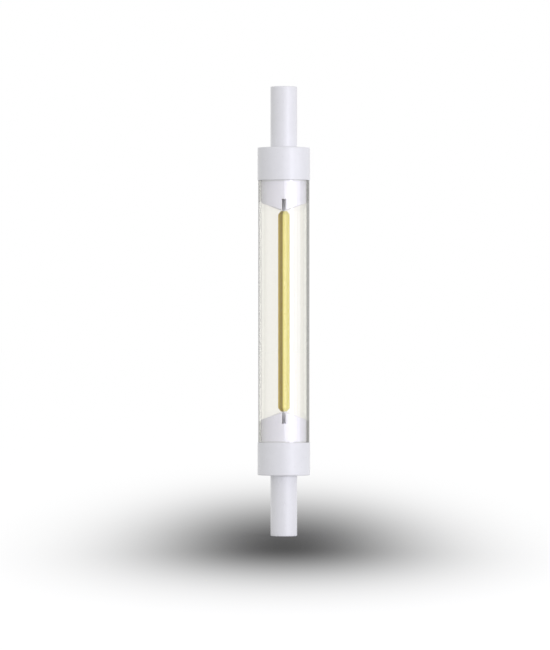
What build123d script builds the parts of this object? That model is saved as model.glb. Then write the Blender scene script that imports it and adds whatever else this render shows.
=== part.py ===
from build123d import *
import math
import os

# A double-ended linear LED lamp: a clear glass tube between two white ceramic end caps, with a
# yellow LED bar on the axis. It stands on the end of its lower stub, +Z runs along the lamp, and
# the origin is the centre of that end. All lengths are in millimetres.
os.makedirs("parts", exist_ok=True)

# Whole lamp
overall_length = 118.0

# End cap: a collar and a stub with a recess in its end
stub_diameter = 7.0
stub_length = 16.0
stub_bore = 3.4
recess_diameter = 4.4
recess_depth = 1.75
recess_shoulder = 0.25
recess_web = 1.2
collar_length = 8.6
collar_web = 1.4
collar_overhang = 0.15
cap_edge_chamfer = 0.2

# Contact button, in a pocket at the bottom of the recess and swaged behind the web
contact_set_back = 0.15
contact_clearance = 0.1
contact_thickness = 0.8
contact_edge_chamfer = 0.3
shank_diameter = 1.8
shank_clearance = 0.05
shank_tail = 1.2
swage_lip = 0.35
swage_thickness = 0.4
lead_clearance = 0.05

# Glass tube
glass_diameter = 13.5
glass_wall = 0.65
glass_rim_chamfer = 0.2

# Bar holder: the gabled plug in the mouth of the tube
holder_wall = 1.0
holder_base_chamfer = 0.3
ridge_reach = 8.1
gable_slope = 20.0
slot_depth = 3.1
slot_clearance = 0.1
slot_floor = 1.0

# Adhesive sleeve round the holder
adhesive_thickness = 0.1
adhesive_in_cap = 3.0
adhesive_in_glass = 0.6

# LED bar
bar_side = 2.3
bar_turn = 34.0
bar_edge_radius = 0.2
bar_bevel_width = 0.55
bar_bevel_height = 0.9
bar_end_cover = 1.2
substrate_width = 1.5
substrate_thickness = 0.4
chip_width = 0.6
chip_length = 1.0
chip_thickness = 0.15
chip_count = 24
chip_gap = 0.5

# Terminal pin at each end of the bar
pin_diameter = 0.9
pin_clearance = 0.05
pin_grip = 1.4
pin_tail = 3.2

# Circuit board in each holder
board_thickness = 1.0
board_clearance = 0.1
groove_depth = 0.4
solder_film = 0.05
solder_length = 2.2
solder_skirt = 0.45
solder_lip = 0.15

# Components on each board
component_margin = 1.9
regulator_width = 4.5
regulator_length = 2.5
regulator_height = 1.5
regulator_leg_width = 0.45
regulator_leg_pitch = 1.5
regulator_tab_width = 1.6
regulator_leg_reach = 1.0
regulator_leg_thickness = 0.35
diode_width = 1.8
diode_length = 2.8
diode_height = 1.0
diode_terminal_width = 1.0
diode_terminal_reach = 0.5
diode_terminal_thickness = 0.2
resistor_width = 1.25
resistor_length = 2.0
resistor_height = 0.5

# Wires, and the fusible resistor in the upper stub
lead_diameter = 0.5
lead_lap = 4.2
fuse_clearance = 0.4
fuse_waist_depth = 0.15
fuse_length = 6.5
fuse_cap_length = 1.4
fuse_edge_chamfer = 0.3

# Stations along an end, measured inwards from the end of the lamp
contact_face = recess_depth + contact_set_back
contact_seat = contact_face + contact_thickness
web_inside = contact_seat + recess_web
shank_end = web_inside + shank_tail
cap_floor = stub_length + collar_web
cap_rim = stub_length + collar_length
ridge = cap_rim + ridge_reach
slot_bottom = ridge - slot_depth
ceiling = slot_bottom - slot_floor
substrate_start = ridge + bar_end_cover

# Diameters and lengths that follow from the sizes above
glass_bore = glass_diameter - 2 * glass_wall
glass_length = overall_length - 2 * cap_rim
collar_diameter = glass_diameter + 2 * collar_overhang
pocket_diameter = recess_diameter - 2 * recess_shoulder
contact_diameter = pocket_diameter - 2 * contact_clearance
swage_diameter = shank_diameter + 2 * swage_lip
holder_diameter = glass_bore - 2 * adhesive_thickness
holder_bore = holder_diameter - 2 * holder_wall
eaves = ridge - math.tan(math.radians(gable_slope)) * holder_diameter / 2
slot_width = pin_diameter + 2 * slot_clearance
bar_length = overall_length - 2 * ridge
substrate_length = overall_length - 2 * substrate_start
chip_margin = pin_grip + chip_gap + chip_length / 2
chip_pitch = (substrate_length - 2 * chip_margin) / (chip_count - 1)
fuse_diameter = stub_bore - 2 * fuse_clearance

# The board stands in two grooves of the holder, its face just clear of the pin and the lead
board_face = pin_diameter / 2 + solder_film
board_back = board_face + board_thickness
groove_middle = (board_face + board_back) / 2
groove_span = 2 * (math.sqrt((holder_bore / 2) ** 2 - board_back**2) + groove_depth)
board_width = groove_span - 2 * board_clearance
board_start = cap_floor + board_clearance
board_end = ceiling - board_clearance
board_middle = (board_start + board_end) / 2
component_offset = board_width / 2 - component_margin
lead_end = board_start + lead_lap
fuse_start = (shank_end + cap_floor - fuse_length) / 2
fuse_end = fuse_start + fuse_length
fuse_waist = fuse_diameter - 2 * fuse_waist_depth

# End cap: one pressed and fired ceramic piece, its half section turned about the axis
with BuildPart() as end_cap:
    with BuildSketch(Plane.XZ) as cap_section:
        with BuildLine():
            Polyline(
                (recess_diameter / 2, 0),
                (stub_diameter / 2, 0),
                (stub_diameter / 2, stub_length),
                (collar_diameter / 2, stub_length),
                (collar_diameter / 2, cap_rim),
                (glass_bore / 2, cap_rim),
                (glass_bore / 2, cap_floor),
                (stub_bore / 2, cap_floor),
                (stub_bore / 2, web_inside),
                (shank_diameter / 2 + shank_clearance, web_inside),
                (shank_diameter / 2 + shank_clearance, contact_seat),
                (pocket_diameter / 2, contact_seat),
                (pocket_diameter / 2, recess_depth),
                (recess_diameter / 2, recess_depth),
                close=True,
            )
        make_face()
        collar_corners = cap_section.vertices().group_by(Axis.X)[-1]
        end_corners = cap_section.vertices().group_by(Axis.Y)[0]
        chamfer(collar_corners + end_corners, length=cap_edge_chamfer)
    revolve(axis=Axis.Z)

# Contact: a flat button with a shank through the web, swaged over inside the stub
with BuildPart() as contact:
    with BuildSketch(Plane.XZ) as contact_section:
        with BuildLine():
            Polyline(
                (0, contact_face),
                (contact_diameter / 2, contact_face),
                (contact_diameter / 2, contact_seat),
                (shank_diameter / 2, contact_seat),
                (shank_diameter / 2, web_inside),
                (swage_diameter / 2, web_inside),
                (swage_diameter / 2, web_inside + swage_thickness),
                (shank_diameter / 2, web_inside + swage_thickness),
                (shank_diameter / 2, shank_end),
                (0, shank_end),
                close=True,
            )
        make_face()
        face_rim = contact_section.vertices().group_by(Axis.Y)[0].sort_by(Axis.X)[-1]
        chamfer(face_rim, length=contact_edge_chamfer)
    revolve(axis=Axis.Z)
    with Locations(Plane.XY.offset(shank_end)):
        Hole(radius=lead_diameter / 2 + lead_clearance, depth=shank_end - contact_seat)

# Bar holder: a moulded plug with a gabled end, hollow behind, and a slot across the ridge
with BuildPart() as bar_holder:
    with BuildSketch(Plane.XZ):
        with BuildLine():
            Polyline(
                (-holder_diameter / 2, cap_floor),
                (holder_diameter / 2, cap_floor),
                (holder_diameter / 2, eaves),
                (0, ridge),
                (-holder_diameter / 2, eaves),
                close=True,
            )
        make_face()
    extrude(amount=holder_diameter / 2, both=True)
    with BuildSketch(Plane.XY.offset(cap_floor)):
        Circle(holder_diameter / 2)
    extrude(amount=ridge - cap_floor, mode=Mode.INTERSECT)
    base = bar_holder.faces().sort_by(Axis.Z)[0]
    chamfer(base.edges(), length=holder_base_chamfer)
    with BuildSketch(Plane.XY.offset(cap_floor)):
        Circle(holder_bore / 2)
        with Locations((0, groove_middle)):
            Rectangle(groove_span, board_thickness + 2 * board_clearance)
    extrude(amount=ceiling - cap_floor, mode=Mode.SUBTRACT)
    with BuildSketch(Plane.XY.offset(slot_bottom)):
        Rectangle(slot_width, holder_diameter)
    extrude(amount=slot_depth, mode=Mode.SUBTRACT)
    with Locations(Plane.XY.offset(slot_bottom)):
        Hole(radius=pin_diameter / 2 + pin_clearance, depth=slot_floor)

# Adhesive sleeve: fills the gap round the holder, in the cap and just into the tube
with BuildPart() as adhesive_sleeve:
    with BuildSketch(Plane.XY.offset(cap_rim - adhesive_in_cap)):
        Circle(glass_bore / 2)
        Circle(holder_diameter / 2, mode=Mode.SUBTRACT)
    extrude(amount=adhesive_in_cap + adhesive_in_glass)

# Circuit board: stands in the holder's grooves
with BuildPart() as circuit_board:
    with BuildSketch(Plane.XZ.offset(-board_face)):
        with Locations((0, board_middle)):
            Rectangle(board_width, board_end - board_start)
    extrude(amount=-board_thickness)

# Regulator chip: on the back of the board, three legs at one side and a cooling tab at the other
with BuildPart() as regulator_chip:
    with BuildSketch(Plane.XZ.offset(-board_back)):
        with Locations((0, board_middle)):
            Rectangle(regulator_width, regulator_length)
    extrude(amount=-regulator_height)
    reach_middle = (regulator_length + regulator_leg_reach) / 2
    with BuildSketch(Plane.XZ.offset(-board_back)):
        with Locations((0, board_middle - reach_middle)):
            with GridLocations(regulator_leg_pitch, regulator_leg_reach, 3, 1):
                Rectangle(regulator_leg_width, regulator_leg_reach)
        with Locations((0, board_middle + reach_middle)):
            Rectangle(regulator_tab_width, regulator_leg_reach)
    extrude(amount=-regulator_leg_thickness)

# Bypass diode: on the face of the board, a flat terminal at each end
with BuildPart() as bypass_diode:
    with BuildSketch(Plane.XZ.offset(-board_face)):
        with Locations((component_offset, board_middle)):
            Rectangle(diode_width, diode_length)
    extrude(amount=diode_height)
    with BuildSketch(Plane.XZ.offset(-board_face)):
        with Locations((component_offset, board_middle)):
            Rectangle(diode_terminal_width, diode_length + 2 * diode_terminal_reach)
    extrude(amount=diode_terminal_thickness)

# Sense resistor: on the face of the board, on the other side of the pin
with BuildPart() as sense_resistor:
    with BuildSketch(Plane.XZ.offset(-board_face)):
        with Locations((-component_offset, board_middle)):
            Rectangle(resistor_width, resistor_length)
    extrude(amount=resistor_height)


# A soldered lap: a mound on the face of the board that cups a round wire up to its middle
def solder_mound(wire_diameter, start):
    half_base = wire_diameter / 2 + solder_skirt
    half_top = wire_diameter / 2 + solder_lip
    with BuildPart() as mound:
        with BuildSketch(Plane.XY.offset(start)):
            with BuildLine():
                Polyline(
                    (-half_base, board_face),
                    (half_base, board_face),
                    (half_top, 0),
                    (-half_top, 0),
                    close=True,
                )
            make_face()
            Circle(wire_diameter / 2, mode=Mode.SUBTRACT)
        extrude(amount=solder_length)
    return mound


# Solder joints: the pin and the lead, each lapped on the face of the board
pin_start = ceiling - pin_tail
with BuildPart() as solder_joints:
    add(solder_mound(pin_diameter, pin_start).part)
    add(solder_mound(lead_diameter, lead_end - solder_length).part)

# Contact lead: the lower end's wire, from the contact straight through the stub to the board
with BuildPart() as contact_lead:
    with BuildSketch(Plane.XY.offset(contact_seat)):
        Circle(lead_diameter / 2)
    extrude(amount=lead_end - contact_seat)

# Fusible resistor: the upper end's, in the bore of the stub, with a pressed cap at both ends
with BuildPart() as fusible_resistor:
    with BuildSketch(Plane.XZ) as fuse_section:
        with BuildLine():
            Polyline(
                (0, fuse_start),
                (fuse_diameter / 2, fuse_start),
                (fuse_diameter / 2, fuse_start + fuse_cap_length),
                (fuse_waist / 2, fuse_start + fuse_cap_length),
                (fuse_waist / 2, fuse_end - fuse_cap_length),
                (fuse_diameter / 2, fuse_end - fuse_cap_length),
                (fuse_diameter / 2, fuse_end),
                (0, fuse_end),
                close=True,
            )
        make_face()
        first_rim = fuse_section.vertices().group_by(Axis.Y)[0].sort_by(Axis.X)[-1]
        last_rim = fuse_section.vertices().group_by(Axis.Y)[-1].sort_by(Axis.X)[-1]
        chamfer([first_rim, last_rim], length=fuse_edge_chamfer)
    revolve(axis=Axis.Z)

# Its two wires: one into the contact's shank, the other on to the board
with BuildPart() as fusible_resistor_leads:
    with BuildSketch(Plane.XY.offset(contact_seat)):
        Circle(lead_diameter / 2)
    extrude(amount=fuse_start - contact_seat)
    with BuildSketch(Plane.XY.offset(fuse_end)):
        Circle(lead_diameter / 2)
    extrude(amount=lead_end - fuse_end)

# Substrate: the ceramic strip in the LED bar, turned with the bar
bar_plane = Plane.XY.rotated((0, 0, bar_turn))
with BuildPart() as substrate:
    with BuildSketch(bar_plane.offset(substrate_start)):
        Rectangle(substrate_width, substrate_thickness)
    extrude(amount=substrate_length)


# A row of LED chips on one face of the substrate
def chip_row(turn):
    chip_plane = Plane.XZ.rotated((0, 0, turn)).offset(substrate_thickness / 2)
    with BuildPart() as row:
        with BuildSketch(chip_plane):
            with Locations((0, overall_length / 2)):
                with GridLocations(chip_width, chip_pitch, 1, chip_count):
                    Rectangle(chip_width, chip_length)
        extrude(amount=chip_thickness)
    return row


# The two rows: each lights on its own half of the mains cycle
front_led_chips = chip_row(bar_turn)
rear_led_chips = chip_row(bar_turn + 180)

# Pin blank: round wire from inside the holder, up the slot and into the end of the bar
with BuildPart() as pin_blank:
    with BuildSketch(Plane.XY.offset(pin_start)):
        Circle(pin_diameter / 2)
    extrude(amount=substrate_start + pin_grip - pin_start)

# The two ends of the lamp are alike: the upper one is the lower one turned end for end
ends = {
    "lower": Location((0, 0, 0)),
    "upper": Location((0, 0, overall_length), (0, 180, 0)),
}
end_pieces = {
    "end_cap": end_cap,
    "contact": contact,
    "bar_holder": bar_holder,
    "adhesive_sleeve": adhesive_sleeve,
    "circuit_board": circuit_board,
    "regulator_chip": regulator_chip,
    "bypass_diode": bypass_diode,
    "sense_resistor": sense_resistor,
    "solder_joints": solder_joints,
}
for end, place in ends.items():
    for name, piece in end_pieces.items():
        with BuildPart() as placed:
            with Locations(place):
                add(piece.part)
        placed.part.label = f"{end}_{name}"
        export_step(placed.part, f"parts/{end}_{name}.step")

# Terminal pins: each is slit where it grips the substrate
pins = {}
for end, place in ends.items():
    with BuildPart() as terminal_pin:
        with Locations(place):
            add(pin_blank.part)
        add(substrate.part, mode=Mode.SUBTRACT)
    terminal_pin.part.label = f"{end}_terminal_pin"
    export_step(terminal_pin.part, f"parts/{end}_terminal_pin.step")
    pins[end] = terminal_pin

# Phosphor bar: yellow silicone moulded round the substrate, the chips and the ends of the pins
bar_sections = {
    ridge: bar_side - 2 * bar_bevel_width,
    ridge + bar_bevel_height: bar_side,
    ridge + bar_length - bar_bevel_height: bar_side,
    ridge + bar_length: bar_side - 2 * bar_bevel_width,
}
with BuildPart() as phosphor_bar:
    for station, side in bar_sections.items():
        with BuildSketch(bar_plane.offset(station)):
            RectangleRounded(side, side, radius=bar_edge_radius)
    loft(ruled=True)
    add(substrate.part, mode=Mode.SUBTRACT)
    add(front_led_chips.part, mode=Mode.SUBTRACT)
    add(rear_led_chips.part, mode=Mode.SUBTRACT)
    for terminal_pin in pins.values():
        add(terminal_pin.part, mode=Mode.SUBTRACT)

# Glass tube: straight, cut square, its rims bevelled
with BuildPart() as glass_tube:
    with BuildSketch(Plane.XY.offset(cap_rim)):
        Circle(glass_diameter / 2)
        Circle(glass_bore / 2, mode=Mode.SUBTRACT)
    extrude(amount=glass_length)
    chamfer(glass_tube.edges().filter_by(GeomType.CIRCLE), length=glass_rim_chamfer)

# The upper end's own wire and resistor, placed with that end
with BuildPart() as upper_fusible_resistor:
    with Locations(ends["upper"]):
        add(fusible_resistor.part)
with BuildPart() as upper_fusible_resistor_leads:
    with Locations(ends["upper"]):
        add(fusible_resistor_leads.part)

glass_tube.part.label = "glass_tube"
export_step(glass_tube.part, "parts/glass_tube.step")
phosphor_bar.part.label = "phosphor_bar"
export_step(phosphor_bar.part, "parts/phosphor_bar.step")
substrate.part.label = "substrate"
export_step(substrate.part, "parts/substrate.step")
front_led_chips.part.label = "front_led_chips"
export_step(front_led_chips.part, "parts/front_led_chips.step")
rear_led_chips.part.label = "rear_led_chips"
export_step(rear_led_chips.part, "parts/rear_led_chips.step")
contact_lead.part.label = "lower_contact_lead"
export_step(contact_lead.part, "parts/lower_contact_lead.step")
upper_fusible_resistor.part.label = "upper_fusible_resistor"
export_step(upper_fusible_resistor.part, "parts/upper_fusible_resistor.step")
upper_fusible_resistor_leads.part.label = "upper_fusible_resistor_leads"
export_step(upper_fusible_resistor_leads.part, "parts/upper_fusible_resistor_leads.step")
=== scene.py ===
import math
import bmesh
import bpy
from mathutils import Matrix, Vector, noise


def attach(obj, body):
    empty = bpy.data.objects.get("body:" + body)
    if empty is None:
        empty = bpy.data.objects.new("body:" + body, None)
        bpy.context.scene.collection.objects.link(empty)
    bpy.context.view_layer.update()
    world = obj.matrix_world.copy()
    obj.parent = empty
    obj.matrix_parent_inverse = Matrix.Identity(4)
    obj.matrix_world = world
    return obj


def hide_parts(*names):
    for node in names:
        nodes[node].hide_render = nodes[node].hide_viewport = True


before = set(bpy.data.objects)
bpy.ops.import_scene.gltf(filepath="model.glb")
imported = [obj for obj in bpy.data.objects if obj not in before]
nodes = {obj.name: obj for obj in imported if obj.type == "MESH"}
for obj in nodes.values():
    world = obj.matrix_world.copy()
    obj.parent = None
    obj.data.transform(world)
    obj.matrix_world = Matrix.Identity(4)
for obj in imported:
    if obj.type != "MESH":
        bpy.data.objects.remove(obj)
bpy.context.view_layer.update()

# Strip and chips
# The strip is a narrow plate of sintered alumina, scribed and snapped to length. Small chips that
# shine blue are bonded in a row to each of its two faces and lie under the yellow silicone.

# The lamp's sizes are in millimetres, and are turned into metres where they are used. Reliefs, the
# lights and the camera's distance are in metres.
mm = 0.001


def paint(red, green, blue):
    """A colour given on the 0 to 255 scale of a screen, as the shader wants it."""
    linear = []
    for part in (red, green, blue):
        part = part / 255
        linear.append(part / 12.92 if part <= 0.04045 else ((part + 0.055) / 1.055) ** 2.4)
    return (*linear, 1.0)


def on_object(tree, scale=(1, 1, 1)):
    """The place on the object, each axis scaled to stretch or flatten what is drawn by it."""
    place = tree.nodes.new("ShaderNodeTexCoord")
    scaled = tree.nodes.new("ShaderNodeMapping")
    scaled.inputs["Scale"].default_value = scale
    tree.links.new(place.outputs["Object"], scaled.inputs["Vector"])
    return scaled.outputs["Vector"]


def speckle(tree, place, fineness, detail):
    """Soft uneven specks over the surface."""
    specks = tree.nodes.new("ShaderNodeTexNoise")
    specks.inputs["Scale"].default_value = fineness
    specks.inputs["Detail"].default_value = detail
    tree.links.new(place, specks.inputs["Vector"])
    return specks.outputs["Fac"]


def graded(tree, value, start, stop, low=0.0, high=1.0, course="LINEAR"):
    """Goes from low to high while the value goes from start to stop."""
    grade = tree.nodes.new("ShaderNodeMapRange")
    grade.interpolation_type = course
    grade.inputs["From Min"].default_value = start
    grade.inputs["From Max"].default_value = stop
    grade.inputs["To Min"].default_value = low
    grade.inputs["To Max"].default_value = high
    tree.links.new(value, grade.inputs["Value"])
    return grade.outputs["Result"]


def raise_skin(tree, shader, height, relief):
    """Gives the surface a slight relief."""
    bump = tree.nodes.new("ShaderNodeBump")
    bump.inputs["Distance"].default_value = relief
    tree.links.new(height, bump.inputs["Height"])
    tree.links.new(bump.outputs["Normal"], shader.inputs["Normal"])


def finish(name, light, dark, grain, roughness, relief, metallic=0.0, stretch=(1, 1, 1)):
    """A finish in two close shades, unevenly polished.

    Grain is the size of its mottling and relief the height of its skin, both in metres.
    """
    material = bpy.data.materials.new(name)
    material.use_nodes = True
    tree = material.node_tree
    shader = tree.nodes["Principled BSDF"]
    shader.inputs["Metallic"].default_value = metallic
    place = on_object(tree, stretch)
    shades = tree.nodes.new("ShaderNodeValToRGB")
    shades.color_ramp.elements[0].position = 0.35
    shades.color_ramp.elements[0].color = dark
    shades.color_ramp.elements[1].position = 0.65
    shades.color_ramp.elements[1].color = light
    tree.links.new(speckle(tree, place, 1 / grain, 3), shades.inputs["Fac"])
    tree.links.new(shades.outputs["Color"], shader.inputs["Base Color"])
    skin = speckle(tree, place, 4 / grain, 5)
    polish = graded(tree, skin, 0, 1, roughness[0], roughness[1])
    tree.links.new(polish, shader.inputs["Roughness"])
    raise_skin(tree, shader, skin, relief)
    return material


def dress(material, *names):
    """Gives CAD nodes that are shown as they are a better material."""
    for name in names:
        for place in nodes[name].material_slots:
            place.material = material


alumina = finish(
    "sintered_alumina",
    paint(236, 234, 226),
    paint(224, 220, 208),
    grain=0.3 * mm,
    roughness=(0.45, 0.6),
    relief=2e-6,
)
chip_face = finish(
    "led_chip_face",
    paint(196, 204, 170),
    paint(160, 172, 150),
    grain=0.2 * mm,
    roughness=(0.15, 0.3),
    relief=1e-6,
)
dress(alumina, "substrate")
dress(chip_face, "front_led_chips", "rear_led_chips")

# Terminal pins
# Round nickel-plated wire. It is slit at one end to grip the strip, stands in the slot of the bar
# holder, and is soldered to the board at the other end.
lamp_length = 118
bar_turn = math.radians(34)
pin_radius = 0.45
pin_foot = 25.4
foot_rounding = 0.12
slit_start = 33.9
slit_end = 35.3
slit_half = 0.2
tongue_steps = 16


def ring(radius, height, around):
    """Points round the lamp's axis."""
    turns = [2 * math.pi * k / around for k in range(around)]
    return [Vector((radius * math.cos(a), radius * math.sin(a), height)) for a in turns]


def skin_over(mesh, loops, closed=False):
    """Joins loops of points into one skin.

    A loop of one point is a tip, and closed joins the last loop to the first.
    """
    rows = [[mesh.verts.new(point) for point in loop] for loop in loops]
    pairs = list(zip(rows, rows[1:]))
    if closed:
        pairs.append((rows[-1], rows[0]))
    for low, high in pairs:
        around = max(len(low), len(high))
        if around == 1:
            continue
        for k in range(around):
            after = (k + 1) % around
            if len(low) == 1:
                mesh.faces.new((low[0], high[after], high[k]))
            elif len(high) == 1:
                mesh.faces.new((low[k], low[after], high[0]))
            else:
                mesh.faces.new((low[k], low[after], high[after], high[k]))


def softened(corners):
    """A closed outline with its corners rounded, from (radius, height, rounding) in millimetres.

    A point a little beyond each rounding keeps the face beside it flat.
    """
    steps = 4
    beyond = 0.25
    outline = []
    for k, (radius, height, rounding) in enumerate(corners):
        corner = Vector((radius, height)) * mm
        if rounding == 0:
            outline.append(corner)
            continue
        before = Vector(corners[k - 1][:2]) * mm
        after = Vector(corners[(k + 1) % len(corners)][:2]) * mm
        start = corner + (before - corner).normalized() * rounding * mm
        end = corner + (after - corner).normalized() * rounding * mm
        outline.append(start.lerp(before, beyond * rounding * mm / (before - start).length))
        for step in range(steps + 1):
            t = step / steps
            outline.append(start * (1 - t) ** 2 + corner * 2 * t * (1 - t) + end * t**2)
        outline.append(end.lerp(after, beyond * rounding * mm / (after - end).length))
    return outline


def turned(mesh, corners, around):
    """A solid of revolution about the lamp's axis, from its closed half section."""
    loops = []
    for radius, height in softened(corners):
        on_axis = radius < 1e-7
        if on_axis:
            loops.append([Vector((0, 0, height))])
        else:
            loops.append(ring(radius, height, around))
    skin_over(mesh, loops, closed=True)


sharp_angle = math.radians(35)


def piece(name, mesh, material, slot, *replaced):
    """Makes the object, gives it its finish, and hides the CAD nodes it stands in for."""
    bmesh.ops.recalc_face_normals(mesh, faces=mesh.faces[:])
    for face in mesh.faces:
        face.smooth = True
    for edge in mesh.edges:
        if len(edge.link_faces) == 2 and edge.calc_face_angle() > sharp_angle:
            edge.smooth = False
    data = bpy.data.meshes.new(name)
    mesh.to_mesh(data)
    mesh.free()
    data.materials.append(material)
    made = bpy.data.objects.new(name, data)
    bpy.context.scene.collection.objects.link(made)
    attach(made, "root")
    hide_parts(*replaced)
    return made


def to_end(mesh, end):
    """The upper end of the lamp is the lower end turned over, end for end."""
    if end == "upper":
        lift = Matrix.Translation((0, 0, lamp_length * mm))
        turn_over = lift @ Matrix.Rotation(math.pi, 4, "Y")
        bmesh.ops.transform(mesh, matrix=turn_over, verts=mesh.verts[:])


nickel = finish(
    "nickel_plated_wire",
    paint(242, 242, 248),
    paint(230, 230, 238),
    grain=0.25 * mm,
    roughness=(0.35, 0.5),
    relief=1e-6,
    metallic=0.1,
    stretch=(1, 1, 0.1),
)
pin_section = [
    (0, pin_foot, 0),
    (pin_radius, pin_foot, foot_rounding),
    (pin_radius, slit_start, 0),
    (0, slit_start, 0),
]
slit_angle = math.asin(slit_half / pin_radius)
for end in ("lower", "upper"):
    wire = bmesh.new()
    turned(wire, pin_section, around=48)
    turn = Matrix.Rotation(bar_turn if end == "lower" else -bar_turn, 3, "Z")
    for side in (1, -1):
        tongue = []
        for k in range(tongue_steps + 1):
            angle = slit_angle + (math.pi - 2 * slit_angle) * k / tongue_steps
            point = Vector((math.cos(angle), side * math.sin(angle), 0)) * (pin_radius * mm)
            tongue.append(turn @ point)
        loops = []
        for height in (slit_start, slit_end):
            loops.append([point + Vector((0, 0, height * mm)) for point in tongue])
        skin_over(wire, loops)
        open_edges = [edge for edge in wire.edges if edge.is_boundary]
        bmesh.ops.holes_fill(wire, edges=open_edges)
    to_end(wire, end)
    piece(f"{end}_pin_wire", wire, nickel, "plated_pin", f"{end}_terminal_pin")

# LED bar
# Yellow silicone with phosphor in it, moulded over the strip, its chips and the ends of the pins.
# The bar is square, its four long edges slightly rounded, and both ends are bevelled. The faces
# over the strip's edges carry painted shade, darker than those over the chips, and every face
# is painted darker towards one long edge, as painted shade.
bar_start = 32.7
bar_side = 2.3
bevel_height = 0.9
bevel_width = 0.55
edge_rounding = 0.22
corner_steps = 6
socket_radius = 0.46
socket_depth = 1.15


def bar_section(side, height, rounding):
    """Points round the bar's square section, turned with the bar."""
    loop = []
    reach = side / 2 - rounding
    for quarter in range(4):
        quarter_turn = quarter * math.pi / 2
        centre = Vector((reach, reach, 0))
        for k in range(corner_steps + 1):
            angle = math.pi / 2 * k / corner_steps
            point = centre + Vector((math.cos(angle), math.sin(angle), 0)) * rounding
            loop.append(Matrix.Rotation(quarter_turn + bar_turn, 3, "Z") @ point)
    return [Vector((p.x, p.y, height)) * mm for p in loop]


def bar_end():
    """The loops of one bevelled end, from the pin's socket out to the full section.

    The socket's points lie in line with those of a small square, so that the skin between is even.
    The steps of a few hundredths round the two edges of the bevel.
    """
    inner_square = bar_section(1.2, 0, 0.3)
    socket = [point.normalized() * socket_radius * mm for point in inner_square]
    loops = []
    for depth in (socket_depth, 0.02, 0):
        loops.append([point + Vector((0, 0, depth * mm)) for point in socket])
    end_side = bar_side - 2 * bevel_width
    profile = [
        (end_side - 0.14, 0.0),
        (end_side - 0.08, 0.0),
        (end_side, 0.025),
        (end_side + 0.06, 0.07),
        (bar_side - 0.06, bevel_height - 0.05),
        (bar_side - 0.015, bevel_height),
        (bar_side, bevel_height + 0.06),
        (bar_side, bevel_height + 0.2),
    ]
    for side, height in profile:
        loops.append(bar_section(side, height, edge_rounding * side / bar_side))
    return loops


def reckon(tree, operation, first, second=None):
    """A Math node. Each input is a socket or a plain number."""
    node = tree.nodes.new("ShaderNodeMath")
    node.operation = operation
    for socket, value in zip(node.inputs, (first, second)):
        if isinstance(value, bpy.types.NodeSocket):
            tree.links.new(value, socket)
        elif value is not None:
            socket.default_value = value
    return node.outputs[0]


def mixed(tree, share, first, second, way="MIX"):
    """Two colours mixed by the share of the second. Each input is a socket or a plain value."""
    mix = tree.nodes.new("ShaderNodeMix")
    mix.data_type = "RGBA"
    mix.blend_type = way
    for name, value in (("Factor", share), ("A", first), ("B", second)):
        if isinstance(value, bpy.types.NodeSocket):
            tree.links.new(value, mix.inputs[name])
        else:
            mix.inputs[name].default_value = value
    return mix.outputs["Result"]


silicone = finish(
    "phosphor_silicone",
    paint(247, 236, 135),
    paint(243, 232, 126),
    grain=1.2 * mm,
    roughness=(0.38, 0.5),
    relief=3e-6,
)
# Painted shade tones for the faces beside the strip, and for one long edge of every face.
shaded_side_pale_tone = paint(235, 203, 80)
shaded_side_deep_tone = paint(180, 154, 2)
painted_edge_shade_tone = paint(231, 228, 159)
silicone_nodes = silicone.node_tree
bar_shader = silicone_nodes.nodes["Principled BSDF"]
bar_shader.inputs["IOR"].default_value = 1.41
chip_side_tone = bar_shader.inputs["Base Color"].links[0].from_socket

# 1 on the two faces beside the strip, which carry painted shade, 0 on the two over the chips, with a
# soft change between.
bar_place = silicone_nodes.nodes.new("ShaderNodeTexCoord")
square_up = silicone_nodes.nodes.new("ShaderNodeVectorRotate")
square_up.inputs["Angle"].default_value = -bar_turn
silicone_nodes.links.new(bar_place.outputs["Object"], square_up.inputs["Vector"])
bar_axes = silicone_nodes.nodes.new("ShaderNodeSeparateXYZ")
silicone_nodes.links.new(square_up.outputs["Vector"], bar_axes.inputs["Vector"])
sideways = reckon(silicone_nodes, "ABSOLUTE", bar_axes.outputs["X"])
outward = reckon(silicone_nodes, "ABSOLUTE", bar_axes.outputs["Y"])
which_face = reckon(silicone_nodes, "SUBTRACT", sideways, outward)
painted_shade_share = graded(silicone_nodes, which_face, -0.08 * mm, 0.08 * mm)

# How far a point lies from the middle of its own face, going round the bar.
round_face = silicone_nodes.nodes.new("ShaderNodeVectorMath")
round_face.operation = "CROSS_PRODUCT"
silicone_nodes.links.new(bar_place.outputs["Normal"], round_face.inputs[0])
silicone_nodes.links.new(bar_place.outputs["Object"], round_face.inputs[1])
face_axes = silicone_nodes.nodes.new("ShaderNodeSeparateXYZ")
silicone_nodes.links.new(round_face.outputs["Vector"], face_axes.inputs["Vector"])
along_face = face_axes.outputs["Z"]

# Painted shade: the faces beside the strip deepen across their width, and every face is painted
# darker towards one long edge, leaving it lighter by the other.
side_shade_depth = graded(silicone_nodes, along_face, -1.15 * mm, 0.3 * mm, course="SMOOTHSTEP")
painted_side_shade = mixed(silicone_nodes, side_shade_depth, shaded_side_pale_tone, shaded_side_deep_tone)
face_with_painted_shade = mixed(silicone_nodes, painted_shade_share, chip_side_tone, painted_side_shade)
painted_edge_shade_share = graded(silicone_nodes, along_face, -0.7 * mm, 0.5 * mm, course="SMOOTHSTEP")
bar_painted_tone = mixed(silicone_nodes, painted_edge_shade_share, face_with_painted_shade, painted_edge_shade_tone, way="MULTIPLY")
silicone_nodes.links.new(bar_painted_tone, bar_shader.inputs["Base Color"])

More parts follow.
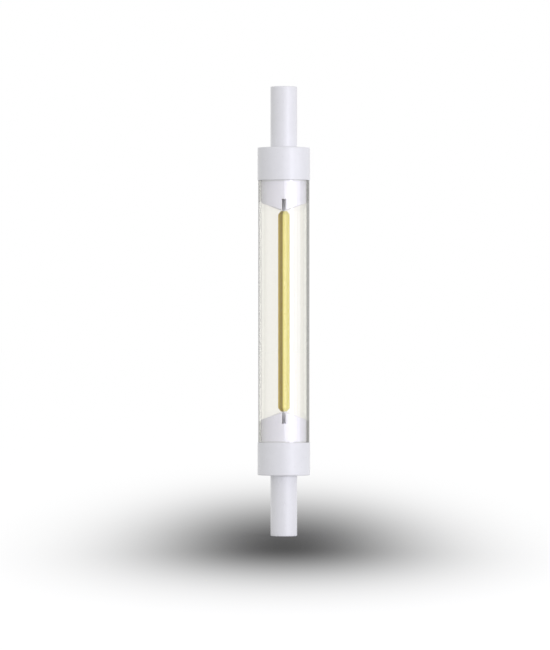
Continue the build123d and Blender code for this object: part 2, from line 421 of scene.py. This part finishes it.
bar = bmesh.new()
lower_loops = [[p + Vector((0, 0, bar_start * mm)) for p in loop] for loop in bar_end()]
upper_loops = []
for loop in reversed(bar_end()):
    top = (lamp_length - bar_start) * mm
    upper_loops.append([Vector((p.x, p.y, top - p.z)) for p in loop])
socket_floor = bar_start + socket_depth
lower_tip = [Vector((0, 0, socket_floor * mm))]
upper_tip = [Vector((0, 0, (lamp_length - socket_floor) * mm))]
skin_over(bar, [lower_tip] + lower_loops + upper_loops + [upper_tip])
piece("yellow_led_bar", bar, silicone, "phosphor_silicone", "phosphor_bar")

# Circuit boards
# Each end has a small glass-fibre board that stands in two grooves of the bar holder. It carries
# a current regulator on its back, and a bypass diode and a sense resistor on its face.
laminate = finish(
    "board_laminate",
    paint(58, 120, 74),
    paint(46, 104, 62),
    grain=0.6 * mm,
    roughness=(0.35, 0.5),
    relief=2e-6,
)
epoxy = finish(
    "black_epoxy",
    paint(44, 44, 46),
    paint(32, 32, 34),
    grain=0.25 * mm,
    roughness=(0.5, 0.65),
    relief=4e-6,
)
thick_film = finish(
    "thick_film_resistor",
    paint(70, 66, 64),
    paint(54, 50, 50),
    grain=0.25 * mm,
    roughness=(0.3, 0.45),
    relief=2e-6,
)
for end in ("lower", "upper"):
    dress(laminate, f"{end}_circuit_board")
    dress(epoxy, f"{end}_regulator_chip", f"{end}_bypass_diode")
    dress(thick_film, f"{end}_sense_resistor")

# Wires, fusible resistor and solder
# Tinned copper wire runs down each stub from the contact to the board. In the upper stub it
# passes through a lacquered fusible resistor, and every joint is soft solder.
tinned = finish(
    "tinned_copper_wire",
    paint(200, 200, 204),
    paint(172, 172, 178),
    grain=0.3 * mm,
    roughness=(0.3, 0.45),
    relief=1e-6,
    metallic=1.0,
)
solder = finish(
    "soft_solder",
    paint(196, 197, 202),
    paint(166, 168, 174),
    grain=0.4 * mm,
    roughness=(0.22, 0.42),
    relief=4e-6,
    metallic=1.0,
)
lacquer = finish(
    "resistor_lacquer",
    paint(122, 158, 128),
    paint(104, 140, 112),
    grain=0.5 * mm,
    roughness=(0.3, 0.42),
    relief=3e-6,
)
dress(tinned, "lower_contact_lead", "upper_fusible_resistor_leads")
dress(solder, "lower_solder_joints", "upper_solder_joints")
dress(lacquer, "upper_fusible_resistor")

# Bar holders
# A white heat-proof moulding that plugs each mouth of the glass tube. Its end is gabled, with a
# slot across the ridge where the pin of the LED bar stands, and it is hollow behind for the board.
holder_radius = 6.0
holder_foot = 17.4
foot_bevel = 0.3
ridge = 32.7
slope = math.tan(math.radians(20))
slot_half = 0.55
slot_floor = 29.6
pin_hole = 0.5
holder_bore = 5.0
bore_ceiling = 28.6
board_back = 1.5
groove_depth = 0.4
groove_front = 0.4
groove_back = 1.6
groove_reach = math.sqrt(holder_bore**2 - board_back**2) + groove_depth
moulded_rounding = 0.14


def gable(x):
    """Height of the gabled end above the lamp's foot, at a distance from the ridge."""
    return ridge - slope * abs(x)


def arc(radius, start, stop, steps):
    """(x, y) points on an arc about the lamp's axis, angles in degrees."""
    turns = [math.radians(start + (stop - start) * k / steps) for k in range(steps + 1)]
    return [(radius * math.cos(a), radius * math.sin(a)) for a in turns]


def holder_body():
    """The moulding as one closed skin: gabled outside, slot, pin hole, and the hollow behind."""
    mesh = bmesh.new()
    weight = mesh.edges.layers.float.new("bevel_weight_edge")
    known = {}

    def vert(x, y, z):
        key = (round(x, 5), round(y, 5), round(z, 5))
        if key not in known:
            known[key] = mesh.verts.new(Vector((x, y, z)) * mm)
        return known[key]

    def face(points):
        mesh.faces.new([vert(*point) for point in points])

    def wall(outline, low, high):
        for (x0, y0), (x1, y1) in zip(outline, outline[1:] + outline[:1]):
            face([(x0, y0, low), (x1, y1, low), (x1, y1, high), (x0, y0, high)])

    def half_plate(outline, opening, height):
        face([(x, y, height) for x, y in outline + opening[::-1]])

    # The outside, from the bevelled foot up to the slot's floor.
    lip = math.degrees(math.acos(slot_half / holder_radius))
    right = arc(holder_radius, -lip, lip, 72)
    back = arc(holder_radius, lip, 180 - lip, 6)
    left = arc(holder_radius, 180 - lip, 180 + lip, 72)
    front = arc(holder_radius, 180 + lip, 360 - lip, 6)
    rim = right[:-1] + back[:-1] + left[:-1] + front[:-1]
    foot_scale = (holder_radius - foot_bevel) / holder_radius
    foot = [(x * foot_scale, y * foot_scale) for x, y in rim]
    bevel_top = holder_foot + foot_bevel
    for k, (x1, y1) in enumerate(rim):
        x0, y0 = rim[k - 1]
        foot0 = (*foot[k - 1], holder_foot)
        foot1 = (*foot[k], holder_foot)
        face([foot0, foot1, (x1, y1, bevel_top), (x0, y0, bevel_top)])
    wall(rim, bevel_top, slot_floor)

    # The two halves of the gable, on each side of the slot.
    for side in (right, left):
        for (x0, y0), (x1, y1) in zip(side, side[1:]):
            face([(x0, y0, slot_floor), (x1, y1, slot_floor), (x1, y1, gable(x1)), (x0, y0, gable(x0))])
        face([(x, y, gable(x)) for x, y in side])
        x = side[0][0]
        near, far = sorted((side[0][1], side[-1][1]))
        slot_foot = [(x, near, slot_floor), (x, 0, slot_floor), (x, far, slot_floor)]
        face(slot_foot + [(x, far, gable(x)), (x, near, gable(x))])

    # The slot's floor with the pin hole in it, and the hollow with a groove at each side.
    hole_front = arc(pin_hole, 0, -180, 16)
    hole_back = arc(pin_hole, 180, 0, 16)
    half_plate([(slot_half, 0)] + front[::-1] + [(-slot_half, 0)], hole_front, slot_floor)
    half_plate([(-slot_half, 0)] + back[::-1] + [(slot_half, 0)], hole_back, slot_floor)
    notch_low = math.degrees(math.asin(groove_front / holder_bore))
    notch_high = math.degrees(math.asin(groove_back / holder_bore))
    bore_front = arc(holder_bore, 0, -180, 64)
    bore_back = (
        arc(holder_bore, 180, 180 - notch_low, 1)
        + [(-groove_reach, groove_front), (-groove_reach, groove_back)]
        + arc(holder_bore, 180 - notch_high, notch_high, 48)
        + [(groove_reach, groove_back), (groove_reach, groove_front)]
        + arc(holder_bore, notch_low, 0, 1)
    )
    half_plate(bore_front, hole_front, bore_ceiling)
    half_plate(bore_back, hole_back, bore_ceiling)
    wall(hole_front[:-1] + hole_back[:-1], bore_ceiling, slot_floor)
    wall(bore_front[:-1] + bore_back[:-1], holder_foot, bore_ceiling)

    # The foot, in two halves that share the points level with the axis.
    level = 1e-9
    foot_front = sorted((p for p in foot if p[1] <= level), key=lambda p: -p[0])
    foot_back = sorted((p for p in foot if p[1] >= -level), key=lambda p: p[0])
    half_plate(foot_front, bore_front, holder_foot)
    half_plate(foot_back, bore_back, holder_foot)

    # The edges to round: those of the gable and the slot, clear of the slot's floor.
    clear_of_floor = (slot_floor + 0.2) * mm
    for edge in mesh.edges:
        low, high = sorted((edge.verts[0].co.z, edge.verts[1].co.z))
        on_rim = all(abs(v.co.xy.length - holder_radius * mm) < 1e-7 for v in edge.verts)
        on_slot = all(abs(abs(v.co.x) - slot_half * mm) < 1e-7 for v in edge.verts)
        at_lip = on_rim and on_slot and high > clear_of_floor
        if at_lip or (low > clear_of_floor and (on_rim or on_slot)):
            edge[weight] = 1.0
    return mesh


moulding = finish(
    "white_heatproof_moulding",
    paint(248, 247, 255),
    paint(245, 244, 254),
    grain=0.8 * mm,
    roughness=(0.38, 0.5),
    relief=3e-6,
)
moulding.node_tree.nodes["Principled BSDF"].inputs["Specular IOR Level"].default_value = 1.0
for end in ("lower", "upper"):
    body = holder_body()
    to_end(body, end)
    holder = piece(f"{end}_gabled_holder", body, moulding, "white_moulding", f"{end}_bar_holder")
    soften = holder.modifiers.new("moulded_edges", "BEVEL")
    soften.limit_method = "WEIGHT"
    soften.width = moulded_rounding * mm
    soften.segments = 3
    soften.use_clamp_overlap = False
    soften.harden_normals = True

# Contacts
# A nickel-plated brass button lies at the bottom of the recess in each stub. Its shank goes
# through the ceramic and is swaged over inside, round the end of the wire.
button_face = 1.9
button_radius = 1.85
web_outside = 2.7
web_inside = 3.9
shank_radius = 0.9
shank_end = 5.1
swage_radius = 1.25
swage_end = 4.3
wire_hole = 0.3
plated = finish(
    "nickel_plated_brass",
    paint(206, 202, 192),
    paint(184, 180, 170),
    grain=0.5 * mm,
    roughness=(0.2, 0.34),
    relief=1e-6,
    metallic=1.0,
)
contact_section = [
    (0, button_face, 0),
    (button_radius, button_face, 0.3),
    (button_radius, web_outside, 0.04),
    (shank_radius, web_outside, 0),
    (shank_radius, web_inside, 0),
    (swage_radius, web_inside, 0.04),
    (swage_radius, swage_end, 0.2),
    (shank_radius, swage_end, 0.05),
    (shank_radius, shank_end, 0.1),
    (wire_hole, shank_end, 0.05),
    (wire_hole, web_outside, 0),
    (0, web_outside, 0),
]
for end in ("lower", "upper"):
    button = bmesh.new()
    turned(button, contact_section, around=96)
    to_end(button, end)
    piece(f"{end}_contact_button", button, plated, "plated_contact", f"{end}_contact")

# End caps
# White steatite ceramic, pressed, fired and thinly glazed. A wide collar meets the glass tube and
# a narrow stub carries the contact in a recess in its end.
stub_radius = 3.5
stub_length = 16
stub_bore = 1.7
collar_radius = 6.9
collar_rim = 24.6
collar_bore = 6.1
recess_radius = 2.2
recess_depth = 1.75
pocket_radius = 1.95
shank_hole = 0.95
ceramic = finish(
    "glazed_white_ceramic",
    paint(237, 237, 240),
    paint(235, 235, 238),
    grain=2.2 * mm,
    roughness=(0.24, 0.34),
    relief=2e-6,
)
cap_section = [
    (recess_radius, 0, 0.12),
    (stub_radius, 0, 0.25),
    (stub_radius, stub_length, 0.18),
    (collar_radius, stub_length, 0.3),
    (collar_radius, collar_rim, 0.08),
    (collar_bore, collar_rim, 0.1),
    (collar_bore, holder_foot, 0.15),
    (stub_bore, holder_foot, 0.15),
    (stub_bore, web_inside, 0.1),
    (shank_hole, web_inside, 0),
    (shank_hole, web_outside, 0),
    (pocket_radius, web_outside, 0),
    (pocket_radius, recess_depth, 0.06),
    (recess_radius, recess_depth, 0.04),
]
for end in ("lower", "upper"):
    cap = bmesh.new()
    turned(cap, cap_section, around=192)
    to_end(cap, end)
    piece(f"{end}_ceramic_cap", cap, ceramic, "white_ceramic", f"{end}_end_cap")

# Adhesive
# White silicone adhesive fills the gap round each holder, in the cap and just into the tube,
# where its edge shows through the glass as an uneven line.
bead_inside = 6.01
bead_outside = 6.09
bead_foot = 21.6
bead_edge = 25.2
bead_rounding = 0.02
bead_waver = 0.16
waves_round = 2.2
adhesive = finish(
    "white_silicone_adhesive",
    paint(236, 236, 238),
    paint(226, 226, 230),
    grain=0.4 * mm,
    roughness=(0.4, 0.6),
    relief=1e-5,
)
bead_section = [
    (bead_inside, bead_foot, bead_rounding),
    (bead_outside, bead_foot, bead_rounding),
    (bead_outside, bead_edge, bead_rounding),
    (bead_inside, bead_edge, bead_rounding),
]
bead_middle = (bead_foot + bead_edge) / 2 * mm
for end, pattern in (("lower", 3.0), ("upper", 8.0)):
    bead = bmesh.new()
    turned(bead, bead_section, around=160)
    for vert in bead.verts:
        if vert.co.z > bead_middle:
            around = math.atan2(vert.co.y, vert.co.x)
            place = Vector((math.cos(around) * waves_round, math.sin(around) * waves_round, pattern))
            vert.co.z -= (bead_waver + bead_waver * noise.noise(place)) * mm
    to_end(bead, end)
    piece(f"{end}_adhesive_bead", bead, adhesive, "white_adhesive", f"{end}_adhesive_sleeve")

# Glass tube
# Clear drawn tube, cut square, with its rims bevelled and polished. It stands between the rims of
# the two ceramic collars. Where its wall is seen edge on, it is painted grey as painted shade for
# the tube's dark edge, and painted darker still where a holder is behind it.
tube_radius = 6.75
tube_bore = 6.1
rim_bevel = 0.12
outer_face = 6.5
clear_to = 28.4
backed_from = 28.9
drawn_glass = bpy.data.materials.new("clear_drawn_glass")
drawn_glass.use_nodes = True
glass_nodes = drawn_glass.node_tree
glass_shader = glass_nodes.nodes["Principled BSDF"]
glass_shader.inputs["Transmission Weight"].default_value = 1.0
glass_shader.inputs["IOR"].default_value = 1.5

# Faint lines along the tube, left by the drawing.
draw_lines = speckle(glass_nodes, on_object(glass_nodes, (1, 1, 0.03)), 500, 2)
clarity = graded(glass_nodes, draw_lines, 0, 1, 0.0, 0.02)
glass_nodes.links.new(clarity, glass_shader.inputs["Roughness"])
raise_skin(glass_nodes, glass_shader, draw_lines, 1.5e-7)
tint = glass_nodes.nodes.new("ShaderNodeValToRGB")
tint.color_ramp.elements[0].color = paint(247, 246, 242)
tint.color_ramp.elements[1].color = paint(249, 248, 245)
glass_nodes.links.new(draw_lines, tint.inputs["Fac"])

# How nearly edge on the wall is seen, counted at the tube's outer face alone.
from_axis = glass_nodes.nodes.new("ShaderNodeVectorMath")
from_axis.operation = "LENGTH"
glass_nodes.links.new(on_object(glass_nodes, (1, 1, 0)), from_axis.inputs[0])
outside = reckon(glass_nodes, "GREATER_THAN", from_axis.outputs["Value"], outer_face * mm)
layer = glass_nodes.nodes.new("ShaderNodeLayerWeight")
edge_on = reckon(glass_nodes, "MULTIPLY", layer.outputs["Facing"], outside)


def painted_edge_greys(steps):
    """Painted shade greys of the glass, from a square look through it (0) to a grazing one (1)."""
    ramp = glass_nodes.nodes.new("ShaderNodeValToRGB")
    ramp.color_ramp.elements[0].position = 0.2
    ramp.color_ramp.elements[0].color = (1, 1, 1, 1)
    last_position, last_grey = steps[-1]
    ramp.color_ramp.elements[1].position = last_position
    ramp.color_ramp.elements[1].color = paint(last_grey, last_grey, last_grey - 1)
    for position, grey in steps[:-1]:
        stop = ramp.color_ramp.elements.new(position)
        stop.color = paint(grey, grey, grey - 2)
    glass_nodes.links.new(edge_on, ramp.inputs["Fac"])
    return ramp.outputs["Color"]


# Painted shade for the tube's dark edges: one set of greys where it is clear, one beside a holder.
open_edge = painted_edge_greys(
    [(0.28, 246), (0.35, 234), (0.46, 218), (0.53, 150), (0.6, 92), (0.75, 76), (0.96, 76)]
)
painted_edge_shade_backed = painted_edge_greys([(0.46, 218), (0.5, 178), (0.53, 111), (0.6, 56), (0.75, 50), (0.96, 62)])
glass_axes = glass_nodes.nodes.new("ShaderNodeSeparateXYZ")
glass_nodes.links.new(on_object(glass_nodes), glass_axes.inputs["Vector"])
above_middle = reckon(glass_nodes, "SUBTRACT", glass_axes.outputs["Z"], lamp_length / 2 * mm)
from_middle = reckon(glass_nodes, "ABSOLUTE", above_middle)
backed = graded(glass_nodes, from_middle, clear_to * mm, backed_from * mm)
painted_edge_colour = mixed(glass_nodes, backed, open_edge, painted_edge_shade_backed)
glass_colour = mixed(glass_nodes, 1.0, tint.outputs["Color"], painted_edge_colour, way="MULTIPLY")
glass_nodes.links.new(glass_colour, glass_shader.inputs["Base Color"])

# Rays between dull surfaces, and those that look for shadow, pass straight through the wall.
let_through = glass_nodes.nodes.new("ShaderNodeBsdfTransparent")
let_through.inputs["Color"].default_value = (1, 1, 1, 1)
glass_path = glass_nodes.nodes.new("ShaderNodeLightPath")
surface = glass_shader.outputs["BSDF"]
for kind in ("Is Diffuse Ray", "Is Shadow Ray"):
    pass_light = glass_nodes.nodes.new("ShaderNodeMixShader")
    glass_nodes.links.new(glass_path.outputs[kind], pass_light.inputs["Fac"])
    glass_nodes.links.new(surface, pass_light.inputs[1])
    glass_nodes.links.new(let_through.outputs["BSDF"], pass_light.inputs[2])
    surface = pass_light.outputs["Shader"]
glass_nodes.links.new(surface, glass_nodes.nodes["Material Output"].inputs["Surface"])

tube_section = [
    (tube_bore, collar_rim, rim_bevel),
    (tube_radius, collar_rim, rim_bevel),
    (tube_radius, lamp_length - collar_rim, rim_bevel),
    (tube_bore, lamp_length - collar_rim, rim_bevel),
]
tube = bmesh.new()
turned(tube, tube_section, around=256)
piece("clear_glass_cylinder", tube, drawn_glass, "clear_glass", "glass_tube")

# Floor and backdrop
# A plain white floor in a white room, which the camera, gloss and glass all see as white. A soft
# painted shadow round the foot is painted into the floor's colour, and the lamp's own shadow lies on
# top of it.
ambient_level = 0.735


def seen_directly(tree):
    """1 for the camera, and for mirror and glass rays that no dull surface has scattered."""
    path = tree.nodes.new("ShaderNodeLightPath")
    direct = reckon(tree, "MAXIMUM", path.outputs["Is Camera Ray"], path.outputs["Is Glossy Ray"])
    direct = reckon(tree, "MAXIMUM", direct, path.outputs["Is Transmission Ray"])
    unscattered = reckon(tree, "LESS_THAN", path.outputs["Diffuse Depth"], 0.5)
    return reckon(tree, "MULTIPLY", direct, unscattered)


world = bpy.data.worlds.new("white_studio")
world.use_nodes = True
bpy.context.scene.world = world
sky = world.node_tree
backdrop = sky.nodes["Background"]
backdrop.inputs["Color"].default_value = (1, 1, 1, 1)
sky_level = graded(sky, seen_directly(sky), 0, 1, ambient_level, 1.0)
sky.links.new(sky_level, backdrop.inputs["Strength"])

floor_white = bpy.data.materials.new("white_floor")
floor_white.use_nodes = True
floor_nodes = floor_white.node_tree
floor_shader = floor_nodes.nodes["Principled BSDF"]
floor_shader.inputs["Roughness"].default_value = 0.9
floor_shader.inputs["Specular IOR Level"].default_value = 0.0
floor_shader.inputs["Emission Color"].default_value = (1, 1, 1, 1)

# The painted shadow fades away from its middle, sideways, behind and before, over these distances.
shade_width = 38.3
shade_behind = 315
shade_before = 149
shade_middle = -64
floor_axes = floor_nodes.nodes.new("ShaderNodeSeparateXYZ")
floor_nodes.links.new(on_object(floor_nodes), floor_axes.inputs["Vector"])
across = reckon(floor_nodes, "DIVIDE", floor_axes.outputs["X"], shade_width * mm)
along = reckon(floor_nodes, "SUBTRACT", floor_axes.outputs["Y"], shade_middle * mm)
behind = reckon(floor_nodes, "MAXIMUM", along, 0)
behind = reckon(floor_nodes, "DIVIDE", behind, shade_behind * mm)
before = reckon(floor_nodes, "MINIMUM", along, 0)
before = reckon(floor_nodes, "DIVIDE", before, shade_before * mm)
depth = reckon(floor_nodes, "ADD", behind, before)
across_squared = reckon(floor_nodes, "MULTIPLY", across, across)
depth_squared = reckon(floor_nodes, "MULTIPLY", depth, depth)
spread = reckon(floor_nodes, "ADD", across_squared, depth_squared)
shade = reckon(floor_nodes, "EXPONENT", reckon(floor_nodes, "MULTIPLY", spread, -1))

# Where no shade lies, the floor glows a little for the camera, so that it is as white as the room.
open_floor = paint(215, 215, 215)
full_shade = paint(98, 98, 98)
full_glow = 0.5
floor_seen = seen_directly(floor_nodes)
shade_seen = reckon(floor_nodes, "MULTIPLY", shade, floor_seen)
floor_tone = mixed(floor_nodes, shade_seen, open_floor, full_shade)
floor_nodes.links.new(floor_tone, floor_shader.inputs["Base Color"])
unshaded = reckon(floor_nodes, "SUBTRACT", 1, shade)
unshaded_seen = reckon(floor_nodes, "MULTIPLY", unshaded, floor_seen)
floor_glow = reckon(floor_nodes, "MULTIPLY", unshaded_seen, full_glow)
floor_nodes.links.new(floor_glow, floor_shader.inputs["Emission Strength"])

floor_mesh = bmesh.new()
floor_middle = [Vector((0, 0, 0))]
skin_over(floor_mesh, [floor_middle] + [ring(radius, 0, 96) for radius in (0.05, 0.5, 8.0)])
floor_data = bpy.data.meshes.new("studio_floor")
floor_mesh.to_mesh(floor_data)
floor_mesh.free()
floor_data.materials.append(floor_white)
studio_floor = bpy.data.objects.new("studio_floor", floor_data)
bpy.context.scene.collection.objects.link(studio_floor)

# Studio light
# A wide soft box at the front right, with a brighter strip in it, gives the band of light down the
# lamp, and a box at the right carries on from it. The three at the back left are seen only through
# the glass, where its edge bends the view towards them. The white room gives the rest.
front_height = 0.22
back_height = 0.25
box_distance = 0.9
box_level = 0.062
power_per_area = 4
lavender = (0.885, 0.875, 1.0)
white = (1, 1, 1)


def soft_box(name, azimuth, distance, size, radiance, colour):
    """An area light aimed at the lamp. Azimuth is in degrees to the right of the camera.

    A radiance of 1 is as bright as white.
    """
    light = bpy.data.lights.new(name, "AREA")
    light.shape = "RECTANGLE"
    light.size = size[0]
    light.size_y = size[1]
    light.energy = radiance * size[0] * size[1] * power_per_area
    light.color = colour
    box = bpy.data.objects.new(name, light)
    turn = math.radians(azimuth)
    box.location = (distance * math.sin(turn), -distance * math.cos(turn), box_level)
    aim = Vector((0, 0, lamp_length / 2 * mm)) - box.location
    box.rotation_euler = aim.to_track_quat("-Z", "Y").to_euler()
    box.visible_camera = False
    bpy.context.scene.collection.objects.link(box)
    return box


front_boxes = [
    soft_box("front_right_box", 32, box_distance, (1.02, front_height), 2.95, lavender),
    soft_box("bright_strip", 35, box_distance - 0.01, (0.19, front_height), 5.25, lavender),
    soft_box("right_fade_box", 70, box_distance, (0.25, front_height), 1.9, lavender),
]
for box in front_boxes:
    box.visible_transmission = False
back_boxes = [
    soft_box("back_left_box", -140, box_distance, (0.18, back_height), 0.9, white),
    soft_box("back_left_strip", -151.5, box_distance, (0.18, back_height), 1.25, white),
    soft_box("back_left_panel", -163.5, box_distance, (0.2, back_height), 0.18, white),
]
for box in back_boxes:
    box.visible_diffuse = False
    box.visible_glossy = False

# Camera
# Level, with a long lens, at the height of the middle of the picture and a little to the left of
# the lamp. The picture takes in 171 mm of height at the lamp.
camera_distance = 1.2
picture_height = 0.1707
sensor_size = 36
camera_data = bpy.data.cameras.new("camera")
camera_data.sensor_width = sensor_size
camera_data.lens = sensor_size * camera_distance / picture_height
camera = bpy.data.objects.new("camera", camera_data)
camera.location = (-2.32 * mm, -camera_distance, 55.4 * mm)
camera.rotation_euler = (math.pi / 2, 0, 0)
bpy.context.scene.collection.objects.link(camera)
bpy.context.scene.camera = camera
bpy.context.scene.view_settings.view_transform = "Standard"
